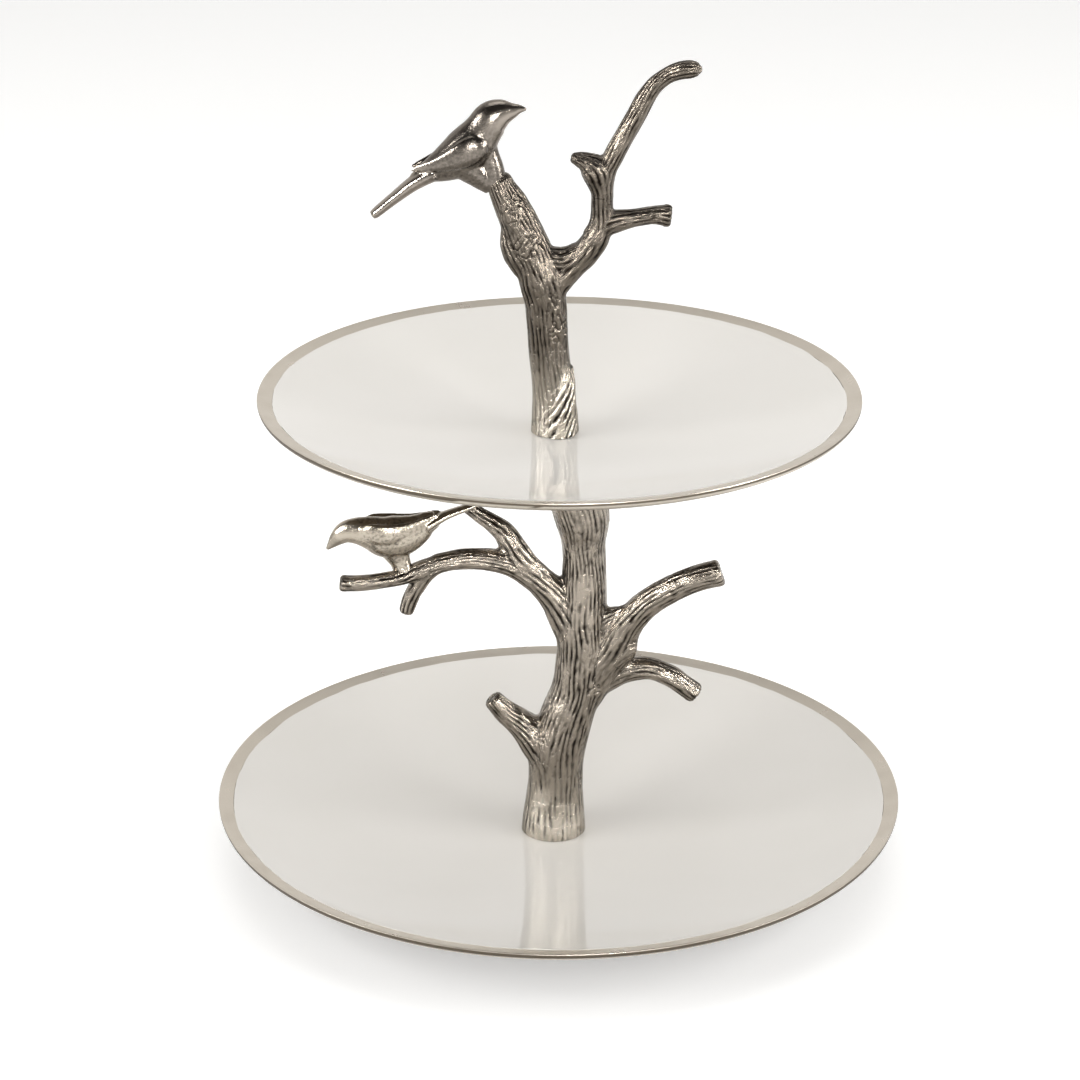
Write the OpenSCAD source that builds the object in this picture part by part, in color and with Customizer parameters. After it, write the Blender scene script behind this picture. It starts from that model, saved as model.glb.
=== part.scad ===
// Two-tier cake stand: two shallow enamelled dishes on a cast stem shaped like a tree trunk,
// with a cast branch as its carrying handle and two cast birds.
// Millimetres, +Z up, table at z = 0, stem axis at x = 0, y = 0, front side towards -Y.

/* [Dishes] */
// Outside diameter of the lower dish
lower_dish_d = 330; // [310:5:350]
// Outside diameter of the upper dish
upper_dish_d = 280; // [260:5:300]
// Depth of the lower dish, lip to middle of the floor
lower_dish_depth = 23; // [19:1:26]
// Depth of the upper dish, lip to middle of the floor
upper_dish_depth = 19.5; // [17:0.5:22]
// Thickness of the cast dishes
dish_wall = 3.5; // [3.2:0.1:4]
// Width of the bare metal band inside each lip
rim_band = 7; // [6:0.5:9]
// Drop of the bare band from the lip to the enamel edge
band_drop = 1.6; // [1.2:0.1:2]
// Thickness of the enamel layer
enamel_t = 0.6; // [0.4:0.1:0.8]
// Radius of the level seat in the middle of each dish
seat_r = 18; // [17.5:0.5:20]

/* [Stem and handle] */
// Distance from the lower dish floor to the underside of the upper dish
stem_h = 204.5; // [195:0.5:215]
// Height of the handle branch above the upper dish floor
handle_h = 176; // [168:1:184]
// Thickness factor of every limb
limb_scale = 1; // [0.96:0.01:1.04]
// Depth of the bark grooves as a share of the limb radius
bark = 0.045; // [0.02:0.005:0.06]

/* [Screws and feet] */
// Diameter of the screw and of the stud that hold the stand together
screw_d = 8; // [8:0.1:8.2]
// Length of screw thread inside the stem and inside the handle
thread_in = 10.7; // [10.5:0.1:11.5]
// Radial running clearance of the threads
thread_gap = 0.05; // [0.03:0.01:0.08]
// Height of the bumper feet
foot_h = 6; // [5.5:0.25:7]
// Radius of the bumper feet
foot_r = 8; // [7:0.5:8.5]
// Distance of each bumper foot from the stem axis
foot_pitch_r = 80; // [76:1:84]

/* [Hidden] */

under1 = foot_h + 1.5;           // underside of the lower dish in its middle
floor1 = under1 + dish_wall;     // enamel floor of the lower dish
under2 = floor1 + stem_h;        // underside of the upper dish in its middle
floor2 = under2 + dish_wall;     // enamel floor of the upper dish
lift = 0.2;                      // the pads stand this far out of the castings
screw_r = screw_d / 2;
hole_r = screw_r + 0.4;
kz = stem_h / 204.5;             // the stem's shape follows its height
hz = handle_h / 176;             // the handle's shape follows its height
sides = 16;
step = 3;                        // rings made between two points of a limb

// ---------- dishes ----------
function dish_z(r, big_r, depth) =
    r <= seat_r ? 0
    : (depth - band_drop) * pow((r - seat_r) / (big_r - rim_band - seat_r), 2.1);
function dish_curve(from_r, big_r, depth, z0) =
    [for (i = [0:14]) let (r = from_r + (big_r - rim_band - from_r) * i / 14)
        [r, z0 + dish_z(r, big_r, depth)]];
function turned(v) = [for (i = [len(v) - 1:-1:0]) v[i]];

module dish_casting(big_r, depth, floor_z) {
    lip = floor_z + depth;
    edge_r = big_r - rim_band;
    rotate_extrude($fn = 180)
        polygon(concat(
            [[hole_r, floor_z - enamel_t]],
            dish_curve(seat_r, big_r, depth, floor_z - enamel_t),
            [[edge_r, lip - band_drop],
             [big_r - 1.1, lip - 0.2], [big_r - 0.5, lip], [big_r, lip - 0.5],
             [big_r - 0.3, lip - 1.9], [big_r - 1.6, lip - 3.4], [big_r - 3.6, lip - 4.4]],
            turned(dish_curve(seat_r, big_r, depth, floor_z - dish_wall)),
            [[hole_r, floor_z - dish_wall]]));
}

module enamel_coat(big_r, depth, floor_z) {
    rotate_extrude($fn = 180)
        polygon(concat(
            [[hole_r, floor_z - enamel_t], [hole_r, floor_z]],
            dish_curve(seat_r, big_r, depth, floor_z),
            turned(dish_curve(seat_r, big_r, depth, floor_z - enamel_t))));
}

module lower_dish() {
    color([0.74, 0.71, 0.67])
        union() {
            dish_casting(lower_dish_d / 2, lower_dish_depth, floor1);
            // level cast pads that the feet are stuck to
            for (a = [45:90:315])
                rotate([0, 0, a])
                    translate([foot_pitch_r, 0, foot_h])
                        cylinder(r = foot_r + 1, h = under1 - foot_h + 0.4
                            + dish_z(foot_pitch_r + foot_r + 1, lower_dish_d / 2, lower_dish_depth));
        }
}
module lower_enamel()
    color([0.93, 0.92, 0.89]) enamel_coat(lower_dish_d / 2, lower_dish_depth, floor1);

module upper_dish()
    color([0.74, 0.71, 0.67]) dish_casting(upper_dish_d / 2, upper_dish_depth, floor2);
module upper_enamel()
    color([0.93, 0.92, 0.89]) enamel_coat(upper_dish_d / 2, upper_dish_depth, floor2);

module bumper_feet()
    color([0.12, 0.12, 0.12])
        for (a = [45:90:315])
            rotate([0, 0, a])
                translate([foot_pitch_r, 0, 0]) {
                    cylinder(r1 = foot_r - 0.8, r2 = foot_r, h = 1);
                    translate([0, 0, 1]) cylinder(r = foot_r, h = foot_h - 1);
                }

// ---------- screws, washer, pads ----------
module base_screw()
    color([0.62, 0.62, 0.62])
        difference() {
            union() {
                // low button head under the washer
                rotate_extrude($fn = 64)
                    polygon([[0, under1 - 5.6], [4, under1 - 5.5], [5.8, under1 - 4.6],
                        [6.8, under1 - 3.2], [7, under1 - 2.2], [7, under1 - 1.6], [0, under1 - 1.6]]);
                translate([0, 0, under1 - 1.7])
                    cylinder(r = screw_r, h = floor1 + lift + thread_in - 0.8 - under1 + 1.7);
                translate([0, 0, floor1 + lift + thread_in - 0.8])
                    cylinder(r1 = screw_r, r2 = screw_r - 0.8, h = 0.8);
            }
            translate([0, 0, under1 - 6])
                cylinder(r = 2.9, h = 3, $fn = 6);
        }

module base_washer()
    color([0.68, 0.68, 0.68])
        difference() {
            translate([0, 0, under1 - 1.6]) cylinder(r = 12, h = 1.6);
            translate([0, 0, under1 - 2]) cylinder(r = hole_r, h = 3);
        }

module soft_pad(r, z) {
    difference() {
        translate([0, 0, z]) cylinder(r = r, h = 1.5);
        translate([0, 0, z - 1]) cylinder(r = hole_r, h = 4);
    }
}
module stem_pad() color([0.16, 0.15, 0.15]) soft_pad(11, floor1);
module trunk_top_pad() color([0.16, 0.15, 0.15]) soft_pad(12, under2 - 1.5);
module handle_pad() color([0.16, 0.15, 0.15]) soft_pad(7.4, floor2);

module joining_stud()
    color([0.62, 0.62, 0.62]) {
        translate([0, 0, under2 - 20]) cylinder(r = screw_r, h = 20 + dish_wall + lift + thread_in - 0.8);
        translate([0, 0, floor2 + lift + thread_in - 0.8])
            cylinder(r1 = screw_r, r2 = screw_r - 0.8, h = 0.8);
    }

// ---------- limbs ----------
// A limb runs through hand-placed points [x, y, z, radius]. It is rounded between them, and its
// last stretch, up to the cut end, is straight.
function mix4(a, b, c, d, t) =
    0.5 * (2 * b + (c - a) * t + (2 * a - 5 * b + 4 * c - d) * t * t + (3 * b - a - 3 * c + d) * t * t * t);
function smooth_path(k, m) = concat(
    [for (i = [0:len(k) - 3], j = [0:m - 1])
        mix4(k[max(i - 1, 0)], k[i], k[i + 1], k[min(i + 2, len(k) - 2)], j / m)],
    [k[len(k) - 2], k[len(k) - 1]]);
function xyz(p) = [p[0], p[1], p[2]];
function unit(v) = v / norm(v);
function heading(p, i) = unit(xyz(p[min(i + 1, len(p) - 1)]) - xyz(p[max(i - 1, 0)]));
function ring(p, i, n, ridge, wide, twist) =
    let (t = heading(p, i), u = unit(cross([0, 1, 0], t)), v = cross(t, u))
    [for (j = [0:n - 1])
        let (a = 360 * j / n + twist * i, r = p[i][3] * (1 + (j % 2 == 0 ? ridge : -ridge)))
        xyz(p[i]) + r * (cos(a) * u + wide * sin(a) * v)];

module limb(k, ridge = bark, wide = 1, twist = 4, n = sides, m = step) {
    p = smooth_path(k, m);
    rings = len(p);
    pts = [for (i = [0:rings - 1]) each ring(p, i, n, ridge, wide, twist)];
    polyhedron(
        points = pts,
        faces = concat(
            [[for (j = [0:n - 1]) j]],
            [for (i = [0:rings - 2], j = [0:n - 1], h = [0, 1])
                let (a = i * n + j, b = i * n + (j + 1) % n)
                h == 0 ? [a, a + n, b + n] : [a, b + n, b]],
            [[for (j = [n - 1:-1:0]) (rings - 1) * n + j]]));
}

function grow(k, f, dz = 0) = [for (q = k) [q[0], q[1], q[2] + dz, q[3] * f]];

// stem, heights above the lower dish floor
function at_stem(k) = [for (q = k) [q[0], q[1], floor1 + q[2] * kz, q[3] * limb_scale]];
trunk_line = [[-2.3, 0, -4, 15.7], [-2.3, 0, 4, 15.4], [-1.4, 0, 26, 13.4], [-0.6, 0, 44, 13.8],
    [4.3, 0, 62, 13], [8.6, 0, 76, 12.1], [10.6, 0, 92, 12], [11, 0, 108, 12.1],
    [11.8, 0, 124, 11.3], [12, 0, 142, 10.5], [11.6, 0, 152, 10.7], [10.8, 0, 165, 13.2],
    [7, 0, 182, 14.5], [2.5, 0, 196, 15.6], [0, 0, 204, 16.2], [0, 0, 209, 16.4]];
right_limb = [[9, 0, 62, 6.4], [12, 0, 70, 8.4], [16, 0, 78, 9], [21.5, -1, 89.5, 9.4],
    [27.7, -3, 101.4, 8.9], [34.1, -6, 114.4, 7.6], [43.1, -9, 124.9, 6.8], [55.2, -12, 133.9, 6.5],
    [65.5, -14, 139.3, 6.4], [74.4, -15.3, 142.4, 6.6], [75.4, -15.4, 142.75, 6.2]];
right_web = [[11, 0, 96, 8], [17, -1, 107, 7], [24, -3, 114.5, 5], [32, -6, 119.5, 3]];
crotch_web = [[18, -0.5, 86, 8], [26, -2, 94.5, 8.2], [32.4, -3.4, 99.6, 7.2],
    [36.8, -4.4, 102, 5.4]];
right_twig = [[12, 0, 70, 5], [20.5, 0, 78.6, 6.4], [30.4, -1, 84.6, 6], [38.2, -2, 87, 5.8],
    [45.4, -3, 87, 5.4], [54.6, -4, 83.2, 5.3], [59.8, -4, 79.2, 5.2], [64.6, -4, 75.4, 5.3],
    [65.5, -4, 74.7, 4.9]];
stub = [[3, 0, 27, 9.5], [-1.7, 0, 37, 11.7], [-9, 0, 46.8, 10.2], [-17.2, 0, 56, 7.6],
    [-25.2, 0, 62.6, 6], [-30.8, -1, 69.2, 5.1], [-31.8, -1, 70.4, 4.4]];
left_limb = [[10, 0, 98, 9.6], [6, 0, 109.6, 9.9], [0, 0, 121.5, 8.8], [-6.6, -1, 130, 7.7],
    [-15.3, -2, 137.3, 6.7], [-24.7, -3, 142.4, 6], [-35.8, -4, 144.7, 5.4],
    [-46.7, -6, 145.5, 5.1], [-56.9, -8, 144.2, 5.1], [-62, -9, 142.6, 4.4]];
left_twig = [[-52, -6.9, 145, 4.2], [-63.2, -9, 142.2, 4.8], [-72.5, -12, 139.4, 4.1],
    [-81.8, -16, 139.1, 3.9], [-92.4, -20, 139.3, 3.9], [-100.8, -22.9, 140.4, 4.1],
    [-101.8, -23.2, 140.5, 3.8]];
left_spur = [[-54, -7, 144.6, 4], [-62, -8.4, 140, 4.6], [-67.6, -9, 132, 4.1],
    [-70.5, -9, 125.8, 3.9], [-72, -9, 121, 3.7], [-72.3, -9, 119.8, 3.3]];
left_fork = [[-4, -1, 131, 4.5], [-9, -2, 135.5, 5.7], [-14, -2, 139.3, 6.5],
    [-18.8, -2, 145.1, 6.8], [-22.1, -1, 150.6, 6.3], [-26.3, 0, 157, 5.4], [-31.8, 1, 161.2, 4.5],
    [-37.3, 2, 164.7, 3.9], [-42.8, 3, 168.5, 3.6], [-43.5, 3, 169, 2.9]];

module trunk_limbs() {
    limb(at_stem(trunk_line));
    limb(at_stem(right_limb));
    limb(at_stem(right_web), n = 12);
    limb(at_stem(crotch_web), n = 12);
    limb(at_stem(right_twig));
    limb(at_stem(stub));
    limb(at_stem(left_limb));
    limb(at_stem(left_twig), n = 12);
    limb(at_stem(left_spur), n = 12, m = 2);
    limb(at_stem(left_fork), twist = 14);
}

module trunk()
    color([0.72, 0.69, 0.64])
        difference() {
            resize([0, 0, 0])
                intersection() {
                    union() trunk_limbs();
                    translate([-150, -60, floor1 + lift]) cube([300, 120, stem_h - 2 * lift]);
                }
            // thread and pad seat in the foot
            translate([0, 0, floor1 - 1]) cylinder(r = screw_r + thread_gap, h = thread_in + 5);
            translate([0, 0, floor1 - 1]) cylinder(r = 11 + 0.05, h = 1 + 1.5);
            // stud hole and pad seat in the top
            translate([0, 0, under2 - 20]) cylinder(r = screw_r, h = 30);
            translate([0, 0, under2 - 1.5]) cylinder(r = 12.3, h = 10);
            // hole for the bird's peg
            bird_peg(lower_perch);
        }

// handle, heights above the upper dish floor
function at_handle(k) = [for (q = k) [q[0], q[1], floor2 + q[2] * hz, q[3] * limb_scale]];
handle_line = [[-2, 0, -6, 11.3], [-2, 0, 1, 11.2], [-2.2, 0, 10.2, 10.6], [-3.1, 0, 23.4, 9.7],
    [-4.8, 0, 38.1, 9.4], [-5.6, 0, 51.1, 9.5], [-6.4, 0, 63, 9.8], [-8.4, 0, 73.6, 10.5],
    [-11.3, 0, 83.2, 10], [-15.1, 0, 92.7, 9.5], [-18.6, 0, 101.4, 8.9], [-22.1, 0, 109.3, 8.1],
    [-25.6, 0, 116, 6.8], [-27.6, 0, 120.6, 6], [-28.2, 0, 121.8, 5]];
hook_limb = [[-6, 0, 58, 6.5], [-4.5, 0, 66, 7], [-1.2, 0, 72.5, 6.8], [4.9, 0, 79.4, 6.3],
    [11.2, 0, 86.1, 6.5], [16.9, 0, 94.5, 6.2], [19, 0, 103.8, 5.3], [19.2, 0, 115, 5.2],
    [20.6, 0, 124.9, 5.1], [23.9, 0, 131.8, 4.8], [28.9, 0, 141.3, 4.6], [34.2, 0, 151, 4.6],
    [38.1, 0, 158.6, 4.5], [42.5, -1, 165.3, 4.1], [48.2, -2, 170, 3.9], [53.6, -4, 172.6, 4.2],
    [58, -4.9, 173.4, 4.2], [60.6, -5.2, 173.4, 3.4], [62.2, -5.4, 173.3, 1.8]];
knob = [[20, 0, 113, 4.8], [18.4, 0, 120, 5.4], [15.8, 0, 125.6, 5.8], [11.6, 0, 129.4, 4.6],
    [7.8, 0, 131, 3.2], [5.6, 0, 131.3, 2.4]];
top_twig = [[13, 0, 94, 4], [18, 0, 98.5, 5.2], [24, 0, 101.2, 5.6], [31.8, 0, 102.8, 4.5],
    [38, 1, 103.6, 4.2], [44, 3, 103.7, 4.4], [49, 4, 103, 5.2], [50, 4, 102.9, 4.9]];
fork_web = [[-9, 0, 77, 6], [-4, 0, 83.2, 6], [0.5, 0, 83.4, 6], [5, 0, 85, 5.4], [9, 0, 88, 4.5]];
foot_strap = [[-0.6, -3.7, -4, 9], [0.2, -4.3, 4, 8.2], [1.2, -4.9, 14, 7], [2.2, -4.9, 22, 5.6],
    [3.2, -4.4, 28.5, 4.2], [4.2, -4, 33.5, 2.4], [4.3, -4, 34, 2]];
perch_bump = [[-14, 0, 78, 7], [-17.6, 0, 86, 8.4], [-20.6, 0, 92.5, 7.4], [-22.6, 0, 99, 5]];

module handle_limbs() {
    limb(at_handle(handle_line));
    limb(at_handle(hook_limb));
    limb(at_handle(knob), n = 12);
    limb(at_handle(top_twig), n = 12);
    limb(at_handle(fork_web), n = 12);
    limb(at_handle(perch_bump), n = 12);
    // a raised strap of bark on the front of the foot
    limb(at_handle(foot_strap), n = 16);
}

module branch_handle()
    color([0.72, 0.69, 0.64])
        difference() {
            resize([0, 0, 0])
                intersection() {
                    union() handle_limbs();
                    translate([-150, -60, floor2 + lift]) cube([300, 120, 220]);
                }
            translate([0, 0, floor2 - 1]) cylinder(r = screw_r + thread_gap, h = thread_in + 5);
            translate([0, 0, floor2 - 1]) cylinder(r = 7.4 + 0.05, h = 1 + 1.5);
            bird_peg(upper_perch);
        }

// ---------- birds ----------
lower_perch = [-72.4, -11, floor1 + 137.5 * kz];
upper_perch = [-27.6, 0, floor2 + 110 * hz];
module bird_peg(perch)
    translate(perch) cylinder(r = 1.5, h = 16, $fn = 32);

// the body of a bird runs from the beak to the tail
upper_body = [[-15.2, 0, 153.7, 0.5], [-18.3, 0, 153.9, 2.2], [-21.5, 0, 153.2, 3.9],
    [-26, 0, 152.2, 6.6], [-30.6, 0, 149.6, 8.3], [-34.4, 0, 144.4, 9.2], [-38.4, 0, 138.4, 11],
    [-44, 0, 132.4, 11.4], [-51.5, 0, 128.2, 9], [-60, 0, 125, 5.6], [-67, 0, 120.4, 3.4],
    [-68, 0, 119.6, 2.8]];
upper_tail = [[-57, 0, 125, 4.4], [-66, 0, 119.6, 3.5], [-75, 0, 112.6, 2.8],
    [-83.4, 0, 105.7, 2.4], [-85, 0, 104.4, 2]];
upper_wing = [[-35, 0, 140, 3.5], [-40, 0, 137, 8], [-50, 0, 132, 7], [-59, 0, 127.4, 4],
    [-65, 0, 123.4, 2], [-66, 0, 122.6, 1.5]];
upper_leg = [[-47, 0, 132, 8], [-41, 0, 127.2, 7.4], [-36.4, 0, 123, 6], [-32.6, 0, 119.6, 4.9],
    [-31, 0, 117.9, 4.2]];
upper_column = [[-33.6, 0, 140, 4.6], [-31.8, 0, 133, 4.5], [-30.2, 0, 127, 4.9],
    [-29.2, 0, 121, 5.2], [-28.8, 0, 119, 4.9]];
lower_body = [[-109.2, -10, 152.2, 0.5], [-107, -10, 154.7, 2.1], [-103.8, -10, 158.2, 4],
    [-100, -10, 160.9, 5.5], [-94.9, -10, 161.6, 6.8], [-88.7, -10, 160.6, 8.4],
    [-81.7, -10, 158.6, 10.3], [-74.4, -9.6, 158.9, 10.2], [-67.6, -8.9, 161.4, 8.3],
    [-62.1, -8.2, 164.9, 5.8], [-58.4, -7.7, 166.4, 4.4], [-57.4, -7.6, 166.8, 4]];
lower_tail = [[-62, -8.2, 164, 3.4], [-54.3, -7.4, 167.9, 2.3], [-48.1, -6.6, 170.2, 1.9],
    [-41.8, -6, 172.3, 1.6], [-34.8, -5.4, 175.1, 1.3], [-33.2, -5.3, 175.8, 0.9]];
lower_wing = [[-92, -10, 162, 3], [-86, -10, 162, 6], [-76, -9.6, 161.4, 6.4],
    [-66, -8.6, 164, 4.2], [-58, -7.7, 167.2, 1.9], [-57, -7.6, 167.6, 1.6]];
lower_leg = [[-77.5, -9.8, 153, 7.2], [-76, -10, 149.4, 5.8], [-74.6, -10.4, 145.8, 4.6],
    [-73.4, -11.2, 141.6, 4.1], [-73, -11.3, 140.6, 3.8]];

function aside(k, dy) = [for (q = k) [q[0], q[1] + dy, q[2], q[3]]];

module bird_shape(body, tail, wing, leg, spread) {
    limb(body, ridge = 0, wide = 0.86, twist = 0);
    limb(leg, ridge = 0, twist = 0, n = 12, m = 2);
    limb(tail, ridge = 0, wide = 2, twist = 0, n = 12, m = 2);
    for (s = [-1, 1])
        limb(aside(wing, s * spread), ridge = 0, wide = 0.42, twist = 0, n = 12, m = 2);
}

module upper_bird()
    color([0.75, 0.72, 0.67])
        union() {
            resize([0, 0, 0])
                difference() {
                    union() {
                        bird_shape(at_handle(upper_body), at_handle(upper_tail), at_handle(upper_wing),
                            at_handle(upper_leg), 7.6);
                        // the breast runs on down to the branch
                        limb(at_handle(upper_column), ridge = 0, twist = 0, n = 12, m = 2);
                    }
                    limb(grow(at_handle(handle_line), 1.02, 0.05));
                }
            bird_peg(upper_perch);
        }

module lower_bird()
    color([0.75, 0.72, 0.67])
        union() {
            resize([0, 0, 0])
                difference() {
                    bird_shape(at_stem(lower_body), at_stem(lower_tail), at_stem(lower_wing),
                        at_stem(lower_leg), 6.8);
                    limb(grow(at_stem(left_limb), 1.02, 0.05));
                    limb(grow(at_stem(left_twig), 1.02, 0.05), n = 12);
                    limb(grow(at_stem(left_spur), 1.02, 0.05), n = 12, m = 2);
                    limb(grow(at_stem(left_fork), 1.06, 0.05), twist = 14);
                }
            bird_peg(lower_perch);
        }

lower_dish();
lower_enamel();
bumper_feet();
base_screw();
base_washer();
stem_pad();
trunk();
lower_bird();
joining_stud();
trunk_top_pad();
upper_dish();
upper_enamel();
handle_pad();
branch_handle();
upper_bird();
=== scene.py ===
# %% [markdown]
# # A two-tier cake stand, finished over its fixed frame
# The stand is two shallow enamelled dishes on a stem cast like a tree trunk, with a cast branch as
# its handle and two cast birds. The frame gives every piece its place and its size. This lesson
# makes the castings with their bark, turns smooth dishes, pours the enamel and lights the stand.

import math

import bpy
import numpy as np
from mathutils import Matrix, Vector, noise


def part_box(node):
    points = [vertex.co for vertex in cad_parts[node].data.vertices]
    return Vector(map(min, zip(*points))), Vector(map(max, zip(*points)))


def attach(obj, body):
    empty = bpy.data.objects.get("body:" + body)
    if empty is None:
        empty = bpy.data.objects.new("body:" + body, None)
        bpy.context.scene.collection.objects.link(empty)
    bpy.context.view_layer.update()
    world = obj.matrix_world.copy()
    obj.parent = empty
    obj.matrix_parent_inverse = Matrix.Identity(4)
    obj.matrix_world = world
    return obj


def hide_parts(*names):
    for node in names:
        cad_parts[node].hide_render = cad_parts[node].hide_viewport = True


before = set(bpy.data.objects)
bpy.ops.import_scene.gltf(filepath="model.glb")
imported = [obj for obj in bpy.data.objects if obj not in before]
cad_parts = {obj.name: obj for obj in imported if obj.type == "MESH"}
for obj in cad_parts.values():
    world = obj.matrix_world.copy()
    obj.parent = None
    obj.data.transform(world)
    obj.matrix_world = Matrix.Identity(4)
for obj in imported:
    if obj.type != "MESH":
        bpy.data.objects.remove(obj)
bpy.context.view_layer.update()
MM = 0.001


def let_go():
    """Nothing stays selected, so an operator touches only what is picked next."""
    if bpy.context.object and bpy.context.object.mode != "OBJECT":
        bpy.ops.object.mode_set(mode="OBJECT")
    bpy.ops.object.select_all(action="DESELECT")


def pick(*pieces):
    let_go()
    for piece in pieces:
        piece.select_set(True)
    bpy.context.view_layer.objects.active = pieces[0]


def settle(piece):
    """The piece's place goes into its mesh, and its object returns to the origin."""
    pick(piece)
    bpy.ops.object.transform_apply(location=True, rotation=True, scale=True)


def shaped_by(piece, kind, **settings):
    """One modifier, set and applied at once."""
    pick(piece)
    modifier = piece.modifiers.new(kind.lower(), kind)
    for name, value in settings.items():
        setattr(modifier, name, value)
    bpy.ops.object.modifier_apply(modifier=modifier.name)


def tally(piece):
    print(piece.name, len(piece.data.vertices), "points,", len(piece.data.polygons), "faces")


print("frame nodes:", sorted(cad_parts))

# %% [markdown]
# ## Camera
# A long lens stands about 1.4 m in front of the stand and looks down at 22.6 degrees. A long lens
# keeps the two rims close to true ellipses.

# %% Camera
LOWER_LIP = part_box("lower_dish")[1].z
bpy.ops.object.camera_add(
    location=(-8.98 * MM, -1429.4 * MM, 724.3 * MM + LOWER_LIP),
    rotation=(math.pi / 2 - 0.394168, 0, 0))
camera = bpy.context.object
camera.name = "studio_camera"
camera.data.lens = 109.18
camera.data.sensor_width = 36
camera.data.clip_end = 60
bpy.context.scene.camera = camera
print("camera at", tuple(round(v, 3) for v in camera.location))

# %% [markdown]
# ## Studio
# Polished nickel shows whatever stands around it, so the room is made with care: a pale floor, a
# bright wall behind, a dark room behind the camera, and lamps with two jobs. Three wide fills light
# the enamel and don't show on metal. Three small lamps only show as glints on metal, so they throw
# no trunk shadow over the enamel. Real lamps can't be split like this: it is a studio trick.

# %% Floor, room and lamps
def to_linear(code):
    """#RRGGBB as a linear colour."""
    parts = [int(code[i:i + 2], 16) / 255 for i in (1, 3, 5)]
    return [c / 12.92 if c <= 0.04045 else ((c + 0.055) / 1.055) ** 2.4 for c in parts] + [1.0]


def add_node(tree, kind, settings=None, links=None, **props):
    """A node, the values of its sockets, and what feeds them."""
    node = tree.nodes.new(kind)
    for name, value in props.items():
        setattr(node, name, value)
    for name, value in (settings or {}).items():
        node.inputs[name].default_value = value
    for name, source in (links or {}).items():
        tree.links.new(source, node.inputs[name])
    return node


def new_material(name):
    material = bpy.data.materials.new(name)
    material.use_nodes = True
    tree = material.node_tree
    tree.nodes.clear()
    return material, tree


def shader_out(tree, surface):
    add_node(tree, "ShaderNodeOutputMaterial", links={"Surface": surface})


def pale_floor():
    material, tree = new_material("pale_floor")
    # a translucent shooting table: a little light comes up through it
    paint = add_node(tree, "ShaderNodeBsdfPrincipled", {
        "Base Color": to_linear("#F7F7F6"), "Roughness": 0.6, "Specular IOR Level": 0.2,
        "Emission Color": to_linear("#FFFFFF"), "Emission Strength": 0.34})
    shader_out(tree, paint.outputs["BSDF"])
    return material


let_go()
bpy.ops.mesh.primitive_plane_add(size=9.4, location=(0, 0.3, 0))
floor = bpy.context.object
floor.name = "studio_floor"
floor.data.materials.append(pale_floor())


def room():
    """The room: bright behind the stand, dark overhead and behind the camera."""
    world = bpy.data.worlds.new("studio_room")
    world.use_nodes = True
    tree = world.node_tree
    tree.nodes.clear()
    where = add_node(tree, "ShaderNodeTexCoord")
    axes = add_node(tree, "ShaderNodeSeparateXYZ", links={0: where.outputs["Generated"]})
    back = add_node(tree, "ShaderNodeMapRange", {1: -0.1, 2: 0.5, 3: 0.0, 4: 1.0},
                    {0: axes.outputs["Y"]}, interpolation_type="SMOOTHSTEP")
    wall = add_node(tree, "ShaderNodeMapRange", {1: 0.55, 2: 0.85, 3: 1.0, 4: 0.25},
                    {0: axes.outputs["Z"]}, interpolation_type="SMOOTHSTEP")
    lit = add_node(tree, "ShaderNodeMath", links={0: back.outputs[0], 1: wall.outputs[0]},
                   operation="MULTIPLY")
    low = add_node(tree, "ShaderNodeMapRange", {1: 0.0, 2: 0.62, 3: 0.74, 4: 0.0},
                   {0: axes.outputs["Z"]}, interpolation_type="SMOOTHSTEP")
    both = add_node(tree, "ShaderNodeMath", links={0: lit.outputs[0], 1: low.outputs[0]},
                    operation="MAXIMUM")
    tone = add_node(tree, "ShaderNodeMapRange", {1: 0.0, 2: 1.0, 3: 0.06, 4: 1.0},
                    {0: both.outputs[0]})
    light = add_node(tree, "ShaderNodeBackground", {"Color": to_linear("#FFFDFA")},
                     {"Strength": tone.outputs[0]})
    add_node(tree, "ShaderNodeOutputWorld", links={"Surface": light.outputs[0]})
    bpy.context.scene.world = world


def soft_box(name, place, size, watts, glint=True, glow=True, aim=(0, 0, 0.2)):
    """A square lamp. glint: it shows as a highlight on metal. glow: it lights matt surfaces."""
    let_go()
    bpy.ops.object.light_add(type="AREA", location=place)
    lamp = bpy.context.object
    lamp.name = name
    lamp.data.shape = "RECTANGLE"
    lamp.data.size, lamp.data.size_y = size
    lamp.data.energy = watts
    lamp.rotation_euler = (Vector(aim) - Vector(place)).to_track_quat("-Z", "Y").to_euler()
    lamp.visible_glossy = glint
    lamp.visible_diffuse = glow
    return lamp


room()
soft_box("box_overhead", (0.0, 0.4, 2.4), (2.0, 1.2), 11)
soft_box("fill_left", (-1.9, -0.8, 1.15), (1.8, 1.6), 31, glint=False)
soft_box("fill_right", (1.9, -0.8, 1.15), (1.8, 1.6), 29, glint=False)
soft_box("fill_front", (0.3, -2.4, 1.2), (2.2, 1.2), 25, glint=False)
soft_box("glint_left", (-1.8, -0.9, 0.95), (0.4, 0.6), 50, glow=False)
soft_box("glint_right", (1.9, -0.8, 0.8), (0.3, 0.5), 36, glow=False)
soft_box("glint_front", (0.5, -2.6, 0.9), (0.6, 0.3), 50, glow=False)
bpy.context.scene.view_settings.view_transform = "Standard"
print("room, one box overhead, three wide fills and three small glints")

# %% [markdown]
# ## Finishes
# - Nickel plate over cast aluminium: a warm grey metal. Rubbing leaves it bright on the ridges and
#   duller in the grooves, so the groove map made with the bark drives both.
# - Enamel: a poured resin coat, white with a little warmth and a very smooth skin.

# %% Nickel, enamel, steel and rubber
NICKEL = "#BEB6A9"


def object_place(tree):
    return add_node(tree, "ShaderNodeTexCoord").outputs["Object"]


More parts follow.
